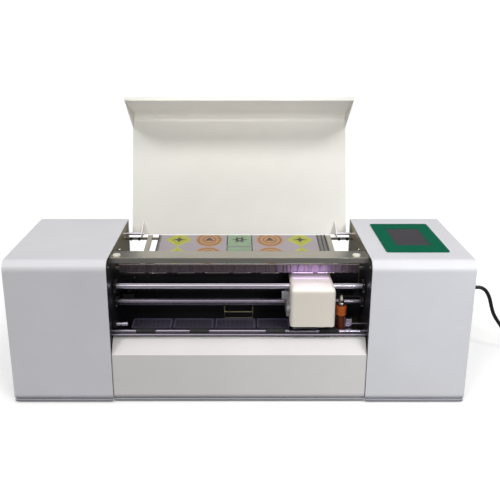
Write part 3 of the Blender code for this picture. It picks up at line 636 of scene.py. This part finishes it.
# ------------------------------------------------------------------ bay
def beam_trim(mats):
    """The lid's white bumpers on the beam, and a stud on each wall."""
    profile = [
        (0.0, 0.0), (0.0066, 0.0), (0.0066, 0.0016), (0.0058, 0.0027), (0.0020, 0.0031), (0.0, 0.0031),
    ]
    for name, x in (("left", -0.2026), ("right", 0.1937)):
        turned(f"lid_bumper_{name}", profile, at(x, 0.0474, 0.2480), (0, 0, 1), mats["cap"], "chassis",
               28)
    for side, name in SIDES:
        screws(f"{name}_stud", [at(side * WALL_X, 0.1417, 0.2275)], (-side, 0, 0), mats["collar"],
               "chassis", 0.0030, 0.0022)


RIB_COUNT = 22
RIB_PITCH = 0.0184
HEM_COUNT = 8
HEM_PITCH = 0.048


def guide_trim(mats):
    """Caps on the sheet guide's ribs, painted lighter as a highlight on the rib edges, and lengths of steel
    hem below them.
    """
    ribs = [(i - (RIB_COUNT - 1) / 2) * RIB_PITCH for i in range(RIB_COUNT)]
    blocks("guide_rib_caps", [
        ((x - 0.0008, x + 0.0008), (0.0788, 0.0800), (0.2072, 0.2196)) for x in ribs
    ], mats["rim"], "chassis", 0.0001)
    hem = []
    for i in range(HEM_COUNT):
        left = -0.2020 + i * HEM_PITCH
        length = 0.030 if i % 3 else 0.040
        hem.append(((left, left + length), (0.0793, 0.0799), (0.2060, 0.2071)))
    blocks("guide_hem", hem, mats["collar"], "chassis", 0.0001)


def rod_clamps(mats):
    """Blocks that hold the ends of the two guide rods, with two screws in each."""
    rows, heads = [], []
    for side in (-1, 1):
        x = sorted((side * WALL_X, side * 0.2080))
        rows.append((x, (0.0530, 0.0730), (0.1780, 0.1985)))
        rows.append((x, (0.0620, 0.0780), (0.1495, 0.1655)))
        heads += [at(side * 0.2110, 0.0530, z) for z in (0.1820, 0.1945)]
        heads += [at(side * 0.2110, 0.0620, z) for z in (0.1525, 0.1625)]
    blocks("rod_clamps", rows, mats["black_plastic"], "chassis", 0.0010)
    screws("rod_clamp_screws", heads, (0, -1, 0), mats["collar"], "chassis", 0.0013, 0.0007)


def back_panel_trim(mats):
    """Two studs, a plate in front of the belt motor, and the inner back panel's ribs."""
    studs = [at(x, 0.1260, z) for x, z in ((-0.1868, 0.1815), (-0.1635, 0.1832))]
    screws("back_panel_studs", studs, (0, -1, 0), mats["collar"], "chassis", 0.0014, 0.0008)
    blocks("motor_screen", [((0.1655, 0.2138), (0.1345, 0.1355), (0.1100, 0.2040))], mats["black_metal"],
           "chassis", 0.0004)
    rows = [((-0.2120, 0.1640), (0.1248, 0.1259), (z, z + 0.0022)) for z in (0.1260, 0.1560, 0.1830, 0.1990)]
    rows += [((x, x + 0.0030), (0.1240, 0.1259), (0.1300, 0.1520)) for x in (-0.150, -0.090, 0.030, 0.090)]
    blocks("back_panel_ribs", rows, mats["black_metal"], "chassis", 0.0004)


def wire_trim(mats):
    tube("sheet_guide_bar", [at(-0.0262, 0.1045, 0.1240), at(0.0242, 0.1045, 0.1240)], 0.0011,
         mats["wire"], "chassis", 3)


PLATEN_TOP = 0.1185
PLATEN_ENDS = (-0.184, 0.0855)
TILE_COUNT = 4
TILE_PITCH = 0.0718
TILE_WIDTH = 0.0668
RIM_WIDTH = 0.0013
HOLE_PITCH = 0.0075
HOLE_DEPTHS = (0.0550, 0.0655, 0.0760)


def platen_trim(mats):
    """The platen's tiles with their raised rims, painted lighter as a highlight on the tile edges, and rows
    of suction holes.
    """
    tiles, rims, holes = [], [], []
    low = PLATEN_TOP - 0.0002
    for i in range(TILE_COUNT):
        left = PLATEN_ENDS[0] + i * TILE_PITCH
        right = min(left + TILE_WIDTH, PLATEN_ENDS[1])
        tiles.append(((left + 0.0016, right - 0.0016), (0.0485, 0.0825), (low, PLATEN_TOP + 0.0005)))
        for edge in (left, right - RIM_WIDTH):
            rims.append(((edge, edge + RIM_WIDTH), (0.0474, 0.0840), (low, PLATEN_TOP + 0.0010)))
        rims.append(((left, right), (0.0838, 0.0848), (low, PLATEN_TOP + 0.0008)))
        for k in range(int((right - left - 0.008) / HOLE_PITCH)):
            for depth in HOLE_DEPTHS:
                holes.append(at(left + 0.0062 + k * HOLE_PITCH, depth, PLATEN_TOP + 0.0005))
    blocks("platen_tiles", tiles, mats["dark_plastic"], "chassis", 0.0003)
    blocks("platen_rims", rims, mats["rim"], "chassis", 0.0002)
    bm = bmesh.new()
    for place in holes:
        add_lathe(bm, [(0.0, 0.0), (0.0012, 0.0), (0.0009, 0.00015), (0.0, 0.00012)], place, (0, 0, 1), 10)
    add_piece("platen_holes", mesh_from(bm, "holes"), mats["hole"], "chassis")


def guide_stub(mats):
    """A grooved steel stub and its bracket at the left of the bay."""
    profile = [
        (0.0, 0.0), (0.0036, 0.0), (0.0036, 0.0065), (0.0027, 0.0070), (0.0027, 0.0085), (0.0036, 0.0090),
        (0.0036, 0.0185), (0.0030, 0.0192), (0.0, 0.0192),
    ]
    turned("left_guide_stub", profile, at(-0.2075, 0.0400, 0.1288), (1, 0, 0), mats["rod"], "chassis")
    blocks("left_stub_bracket", [((-0.2140, -0.2070), (0.0350, 0.0450), (0.1235, 0.1340))],
           mats["black_metal"], "chassis", 0.0008)


def bay_trim(mats):
    wall_liners(mats)
    beam_trim(mats)
    guide_trim(mats)
    rod_clamps(mats)
    back_panel_trim(mats)
    wire_trim(mats)
    platen_trim(mats)
    guide_stub(mats)


# ------------------------------------------------------------------ carriage and capping station
FIN_COUNT = 12
FIN_PITCH = 0.0045


def carriage_trim(mats):
    """Latch, nozzle plate, the UV lamp's fins and window, and the two lights that ride the carriage."""
    turned("carriage_latch", [
        (0.0, 0.0), (0.0062, 0.0), (0.0062, 0.0030), (0.0050, 0.0052), (0.0020, 0.0060), (0.0, 0.0060),
    ], at(0.0845, 0.0300, 0.1608), (-1, 0, 0), mats["grey_plastic"], "carriage", 28)
    blocks("head_nozzle_plate", [((0.0945, 0.1295), (0.0505, 0.0815), (0.12345, 0.12385))], mats["collar"],
           "carriage", 0.0001)
    fins = [(0.0935 + i * FIN_PITCH, 0.0950 + i * FIN_PITCH) for i in range(FIN_COUNT)]
    blocks("uv_lamp_fins", [(x, (0.1008, 0.1018), (0.1340, 0.1860)) for x in fins], mats["grey_plastic"],
           "carriage", 0.0002)
    blocks("uv_lamp_window", [((0.0945, 0.1455), (0.0940, 0.0995), (0.12765, 0.12810))], mats["lamp"],
           "carriage", 0.0001)
    glow = add_light("uv_glow", "AREA", 0.014, (0.66, 0.48, 1.0), at(0.1215, 0.0630, 0.2040),
                     at(0.1215, 0.0800, 0.2130), shape="RECTANGLE", size=0.066, size_y=0.006)
    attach(glow, "carriage")
    top = add_light("bay_light", "AREA", 0.012, (0.82, 0.76, 1.0), at(0.1215, 0.0300, 0.2330),
                    at(0.1215, 0.0420, 0.2000), shape="RECTANGLE", size=0.070, size_y=0.030)
    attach(top, "carriage")


PUMP_AXIS = at(0.1732, 0.0520, 0.0)
SLED_CAP = (0.1120, 0.0670)  # x and depth of the cap's middle


def add_ring(bm, outer, inner, low, high):
    """A closed band between two loops, from one height to another."""
    loops = ((outer, low), (outer, high), (inner, high), (inner, low))
    add_tunnel(bm, [[bm.verts.new(p + Vector((0, 0, z))) for p in loop] for loop, z in loops])


def station_trim(mats):
    """Trim of the pump and its hose, the lever's wire, and the rubber on the capping sled."""
    turned("pump_collar", [
        (0.0, 0.1588), (0.0054, 0.1588), (0.0058, 0.1600), (0.0058, 0.1622), (0.0050, 0.1632),
        (0.0050, 0.1668), (0.0042, 0.1684), (0.0, 0.1684),
    ], PUMP_AXIS, (0, 0, 1), mats["collar"], "chassis")
    turned("pump_pin", [
        (0.0, 0.1680), (0.0019, 0.1680), (0.0019, 0.1736), (0.0012, 0.1756), (0.0, 0.1756),
    ], PUMP_AXIS, (0, 0, 1), mats["cap"], "chassis", 16)
    turned("pump_band", [
        (0.0, 0.1412), (0.0086, 0.1412), (0.0090, 0.1420), (0.0090, 0.1452), (0.0087, 0.1460),
        (0.0090, 0.1468), (0.0090, 0.1578), (0.0086, 0.1588), (0.0, 0.1588),
    ], PUMP_AXIS, (0, 0, 1), mats["orange_band"], "chassis")
    hose = smooth([at(0.1665, 0.0560, 0.1180), at(0.1600, 0.0610, 0.1165), at(0.1545, 0.0680, 0.1060),
                   at(0.1535, 0.0740, 0.0900), at(0.1500, 0.0800, 0.0800)], 6)
    tube("pump_hose", hose, 0.0014, mats["umber"], "chassis", 3)
    tube("lever_wire", [at(0.1925, 0.0515, 0.1126), at(0.1960, 0.0515, 0.1122), at(WALL_X, 0.0515, 0.1122)],
         0.0006, mats["rod"], "chassis", 3)
    blocks("wiper_blade", [((0.1374, 0.1386), (0.0570, 0.0770), (0.1230, 0.1243))], mats["rubber"],
           "cap_sled", 0.0002)
    bm = bmesh.new()
    x, depth = SLED_CAP
    outer = [at(x + u, depth + v, 0.0) for u, v in rounded_loop(0.0162, 0.0112, 0.0030)]
    inner = [at(x + u, depth + v, 0.0) for u, v in rounded_loop(0.0150, 0.0100, 0.0022)]
    add_ring(bm, outer, inner, 0.1233, 0.1242)
    add_piece("cap_lip", mesh_from(bm, "lip"), mats["rubber"], "cap_sled")


# ------------------------------------------------------------------ tray and print
TRAY_SLOPE = 0.10
TRAY_FRONT = (0.090, 0.214)  # depth and height of the tray's plane at its front


def on_tray(x, depth, lift):
    """A point above the tray's plane."""
    return at(x, depth, TRAY_FRONT[1] + TRAY_SLOPE * (depth - TRAY_FRONT[0]) + lift)


def add_on_tray(bm, outline, low, high):
    """A solid between two heights above the tray's plane."""
    add_slab(bm, *([on_tray(x, d, lift) for x, d in outline] for lift in (low, high)))


PRINT_DEPTHS = (0.0990, 0.2298)
SHEET_LIFT = 0.0006
LAYER_LIFT = 0.00006
STRETCH = 1.28  # the printed diamonds and rounds are a little longer than they are wide
CLIP_STEPS = 8  # parts that each side of a shape is cut into before it is clipped
SHORTEST_PRINT = 0.001
PRINT_MIDDLE = 0.0007
PRINT_PITCH = 0.0564
PRINT_ROWS = (0.0755, 0.1415, 0.2075)
# ink and radius of each layer, the lowest first
DIAMOND_LAYERS = (("lime", 0.0246), ("olive", 0.0150), ("lime", 0.0132))
ROUND_LAYERS = (
    ("orange", 0.0246), ("umber", 0.0212), ("orange", 0.0192), ("umber", 0.0125), ("orange", 0.0108),
)


def clipped(outline):
    """An outline about the sheet, cut off at the sheet's ends."""
    dense = []
    for (x0, d0), (x1, d1) in zip(outline, outline[1:] + outline[:1]):
        for i in range(CLIP_STEPS):
            t = i / CLIP_STEPS
            dense.append((x0 + (x1 - x0) * t, d0 + (d1 - d0) * t))
    low, high = PRINT_DEPTHS
    kept = [(x, min(high, max(low, d))) for x, d in dense]
    return [p for i, p in enumerate(kept) if math.dist(p, kept[i - 1]) > 1e-6]


def add_print(bm, outline, layer):
    """A flat printed shape; a higher layer lies on a lower one. What falls off the sheet is left out."""
    points = clipped(outline)
    depths = [d for _, d in points]
    if len(points) < 3 or max(depths) - min(depths) < SHORTEST_PRINT:
        return
    add_on_tray(bm, points, SHEET_LIFT + 0.00002, SHEET_LIFT + LAYER_LIFT * (layer + 1))


def polygon(centre, radius, sides, stretch=1.0):
    """An even polygon, drawn out along the tray by stretch."""
    angles = [2 * math.pi * (i / sides) for i in range(sides)]
    return [(centre[0] + radius * math.cos(a), centre[1] + stretch * radius * math.sin(a)) for a in angles]


def star(centre, outer, inner, points, turn=0.0):
    """A star with so many points, from the outer radius to the inner one."""
    made = []
    for i in range(2 * points):
        radius = inner if i % 2 else outer
        angle = math.pi * i / points + turn
        made.append((centre[0] + radius * math.cos(angle), centre[1] + radius * math.sin(angle)))
    return made


def rectangle(x, depth):
    return [(x[0], depth[0]), (x[1], depth[0]), (x[1], depth[1]), (x[0], depth[1])]


def add_printed(layers, centre, sides, rows, mark):
    """A printed shape: polygons lying on one another with a black mark on top."""
    for layer, (colour, radius) in enumerate(rows):
        add_print(layers[colour], polygon(centre, radius, sides, STRETCH), layer)
    add_print(layers["ink_black"], mark, len(rows))


def printed_shapes(mats):
    """Rows of plain diamonds, rounds and oblongs, each colour one thin layer of cured ink."""
    layers = {name: bmesh.new() for name in ("lime", "olive", "orange", "umber", "sage", "ink_black")}
    x = PRINT_MIDDLE
    for row in PRINT_ROWS:
        for side in (-2, 2):
            centre = (x + side * PRINT_PITCH, row)
            add_printed(layers, centre, 4, DIAMOND_LAYERS, star(centre, 0.0120, 0.0052, 4))
        for side in (-1, 1):
            centre = (x + side * PRINT_PITCH, row)
            add_printed(layers, centre, 40, ROUND_LAYERS, star(centre, 0.0098, 0.0048, 3, math.pi / 2))
        add_print(layers["ink_black"], rectangle((x - 0.0238, x + 0.0238), (row - 0.0320, row + 0.0320)), 0)
        add_print(layers["sage"], rectangle((x - 0.0218, x + 0.0218), (row - 0.0310, row + 0.0310)), 1)
        add_print(layers["ink_black"], star((x, row), 0.0150, 0.0070, 6), 2)
        add_print(layers["sage"], polygon((x, row), 0.0030, 20), 3)
    for name, bm in layers.items():
        add_piece(f"print_{name}", mesh_from(bm, name), mats[name], "chassis")


def tray_trim(mats):
    """Low fences along the sheet, and screws in front of the tray's rear bar."""
    bm = bmesh.new()
    for x in ((0.1468, 0.1478), (0.1540, 0.1552), (0.1605, 0.1622), (-0.1515, -0.1500)):
        add_on_tray(bm, rectangle(x, (0.0910, 0.2310)), 0.00001, 0.0012)
    add_piece("tray_fences", mesh_from(bm, "fences"), mats["dull_steel"], "chassis")
    places = [at(side * x, 0.2220, 0.2235) for side in (-1, 1) for x in (0.2040, 0.1885)]
    screws("tray_bar_screws", places, (0, -1, 0), mats["black_metal"], "chassis", 0.0030,
           0.0022)


# ------------------------------------------------------------------ lid
HINGE = at(0.0, 0.235, 0.230)
LID_ANGLE = math.radians(110)
FOLD_RADIUS = 0.016  # inside the fold between the lid and its lip
FOLD_STEPS = 8


def on_lid(x, back, up):
    """A point on the lid: back is its place behind the hinge and up its height over it when it is shut."""
    turn = Matrix.Rotation(-LID_ANGLE, 3, "X")
    return HINGE + turn @ Vector((x, back, up))


def lid_trim(mats):
    """Corner gussets and the end beads on the lip's edge."""
    gussets, beads = bmesh.new(), bmesh.new()
    lip, plane, edge = -0.2336, 0.0216, -0.0880  # inner faces of the lip and the lid, and the lip's edge
    radius = FOLD_RADIUS
    corner = [(lip, edge)]
    for i in range(FOLD_STEPS + 1):
        angle = math.radians(180 - 90 * i / FOLD_STEPS)
        corner.append((lip + radius + radius * math.cos(angle), plane - radius + radius * math.sin(angle)))
    corner.append((lip + radius + 0.010, plane))
    for side in (-1, 1):
        add_slab(gussets, *([on_lid(side * x, b, u) for b, u in corner] for x in (0.2059, 0.2047)))
        add_lathe(beads, [(0.0, 0.0), (0.0011, 0.0), (0.0011, 0.0210), (0.0007, 0.0215), (0.0, 0.0215)],
                  on_lid(side * 0.2058, -0.2372, -0.0885), (-side, 0, 0), 12)
    add_piece("lid_gussets", mesh_from(gussets, "gussets"), mats["lid"], "lid")
    add_piece("lid_edge_beads", mesh_from(beads, "beads"), mats["lid"], "lid")


# ------------------------------------------------------------------ screen and inlet
def screen_trim(mats):
    """A dark ring round the display's window, widest at the right and the back: painted shadow of the film's
    edge on the display set behind it.
    """
    bm = bmesh.new()
    outer = [at(0.2965 + u, 0.13425 + v, 0.0) for u, v in rounded_loop(0.0303, 0.0507, 0.0015)]
    inner = [at(0.2958 + u, 0.13325 + v, 0.0) for u, v in rounded_loop(0.0258, 0.0448, 0.0010)]
    add_ring(bm, outer, inner, 0.2535, 0.25440)
    add_piece("display_painted_shadow", mesh_from(bm, "border"), mats["border"], "chassis")


ROCKER_HEIGHT = 0.169


def inlet_trim(mats):
    """A frame round the power rocker, and the inlet's two screws."""
    bm = bmesh.new()
    outer = rounded_loop(0.0135, 0.0170, 0.0015)
    inner = rounded_loop(0.0108, 0.0143, 0.0008)
    add_tunnel(bm, [
        [bm.verts.new(at(x, INLET[0] + u, ROCKER_HEIGHT + v)) for u, v in loop]
        for loop, x in ((outer, 0.3791), (outer, 0.3799), (inner, 0.3799), (inner, 0.3791))
    ])
    add_piece("rocker_frame", mesh_from(bm, "rocker"), mats["black_plastic"], "chassis")
    screws("inlet_screws", [at(0.3799, d, INLET[1]) for d in (0.1885, 0.2215)], (1, 0, 0), mats["collar"],
           "chassis", 0.0017, 0.0001)


# ------------------------------------------------------------------ stage
ORIGIN = (0.0, 0.0, 0.0)
WHITE = (1.0, 1.0, 1.0, 1.0)
DAYLIGHT = (1.0, 0.99, 0.97)


def add_light(name, kind, energy, colour, location, target, **settings):
    """A light at location that shines towards target."""
    data = bpy.data.lights.new(name, kind)
    data.energy = energy
    data.color = colour
    for key, value in settings.items():
        setattr(data, key, value)
    lamp = bpy.data.objects.new(name, data)
    lamp.location = location
    lamp.rotation_euler = (Vector(target) - Vector(location)).to_track_quat("-Z", "Y").to_euler()
    bpy.context.scene.collection.objects.link(lamp)
    return lamp


def make_world():
    world = bpy.data.worlds.new("studio")
    world.use_nodes = True
    background = world.node_tree.nodes["Background"]
    background.inputs["Color"].default_value = (0.96, 0.97, 1.0, 1.0)
    background.inputs["Strength"].default_value = 0.22
    bpy.context.scene.world = world
    bpy.context.scene.view_settings.view_transform = "Standard"


def object_from(bm, name, material):
    mesh = bpy.data.meshes.new(name)
    bm.to_mesh(mesh)
    bm.free()
    mesh.materials.append(material)
    made = bpy.data.objects.new(name, mesh)
    bpy.context.scene.collection.objects.link(made)
    return made


def make_floor():
    """A matt white floor that neither tints nor mirrors in the object."""
    surface = Finish("floor_white", 0.9, Emission_Color=WHITE, Emission_Strength=0.25, Specular_IOR_Level=0.1)
    surface.cloud((0.86, 0.86, 0.86), 0.01, 3.0)
    bm = bmesh.new()
    bmesh.ops.create_grid(bm, x_segments=1, y_segments=1, size=40.0)
    floor = object_from(bm, "floor", surface.material)
    floor.visible_diffuse = False
    floor.visible_glossy = False


def make_backdrop():
    """A white drum round everything, seen by the camera only."""
    glow = bpy.data.materials.new("backdrop_white")
    glow.use_nodes = True
    shader = glow.node_tree.nodes["Principled BSDF"]
    shader.inputs["Emission Color"].default_value = WHITE
    shader.inputs["Emission Strength"].default_value = 1.0
    bm = bmesh.new()
    bmesh.ops.create_cone(bm, cap_ends=False, segments=64, radius1=38.0, radius2=38.0, depth=40.0)
    backdrop = object_from(bm, "backdrop", glow)
    for rays in ("visible_diffuse", "visible_glossy", "visible_shadow", "visible_transmission"):
        setattr(backdrop, rays, False)


def make_stage():
    make_world()
    make_floor()
    make_backdrop()
    for name, x in (("left_key", -0.7), ("right_key", 0.7)):
        add_light(name, "SUN", 0.79, DAYLIGHT, (x, -1.0, 1.22), ORIGIN, angle=math.radians(16))
    add_light("top_key", "SUN", 1.2, DAYLIGHT, (0.0, -0.25, 1.4), ORIGIN, angle=math.radians(80))
    add_light("lid_fill", "AREA", 0.105, (1.0, 0.99, 0.95), (0.0, -1.30, 0.50), (0.0, 0.08, 0.462),
              shape="RECTANGLE", size=0.5, size_y=0.05, spread=math.radians(14))
    add_light("fill", "AREA", 0.31, (0.96, 0.98, 1.0), (0.62, -1.25, 0.75), (0.36, -0.1, 0.12), size=0.25,
              spread=math.radians(45))


def paint_nodes(mats):
    """Gives every CAD node its finish."""
    uses = {
        "pod": "left_pod_shell right_pod_shell left_side_cover right_side_cover",
        "panel": "front_cover rear_cover",
        "lid": "lid_panel",
        "beam": "front_top_beam tray_frame",
        "zinc": "base_plate left_side_frame right_side_frame power_supply",
        "rod": "upper_guide_rod head_release_lever hinge_pin_left hinge_pin_right",
        "shaded_rod": "lower_guide_rod front_exit_rod feed_shaft",
        "dull_steel": "belt_drive_pulley belt_idler_pulley idler_bracket",
        "wire": "sheet_guide_wire",
        "black_metal": "inner_back_panel belt_motor feed_motor",
        "black_plastic": "print_head capping_base mains_inlet power_switch",
        "dark_plastic": "platen",
        "grey_plastic": "carriage_frame uv_lamp capping_sled",
        "rib": "ribbed_sheet_guide",
        "white_plastic": "carriage_cover feed_gear ink_tank_bank",
        "rubber": "foot_front_left foot_front_right foot_rear_left foot_rear_right "
                  "feed_roller_1 feed_roller_2 feed_roller_3 feed_roller_4 carriage_belt",
        "amber": "waste_pump",
        "brass": "feed_motor_pinion",
        "tray": "sheet_tray",
        "sheet": "printed_sheet",
        "film": "screen_bezel",
        "display": "screen_display",
        "board": "main_board",
        "strip": "encoder_strip",
    }
    for finish, names in uses.items():
        for name in names.split():
            mesh = nodes[name].data
            mesh.materials.clear()
            mesh.materials.append(mats[finish])


make_camera()
mats = make_materials()
mains_lead(mats)
paint_nodes(mats)
soften_edges()
casing_trim(mats)
bottom_rolls(mats)
bay_trim(mats)
carriage_trim(mats)
station_trim(mats)
printed_shapes(mats)
tray_trim(mats)
lid_trim(mats)
screen_trim(mats)
inlet_trim(mats)
make_stage()
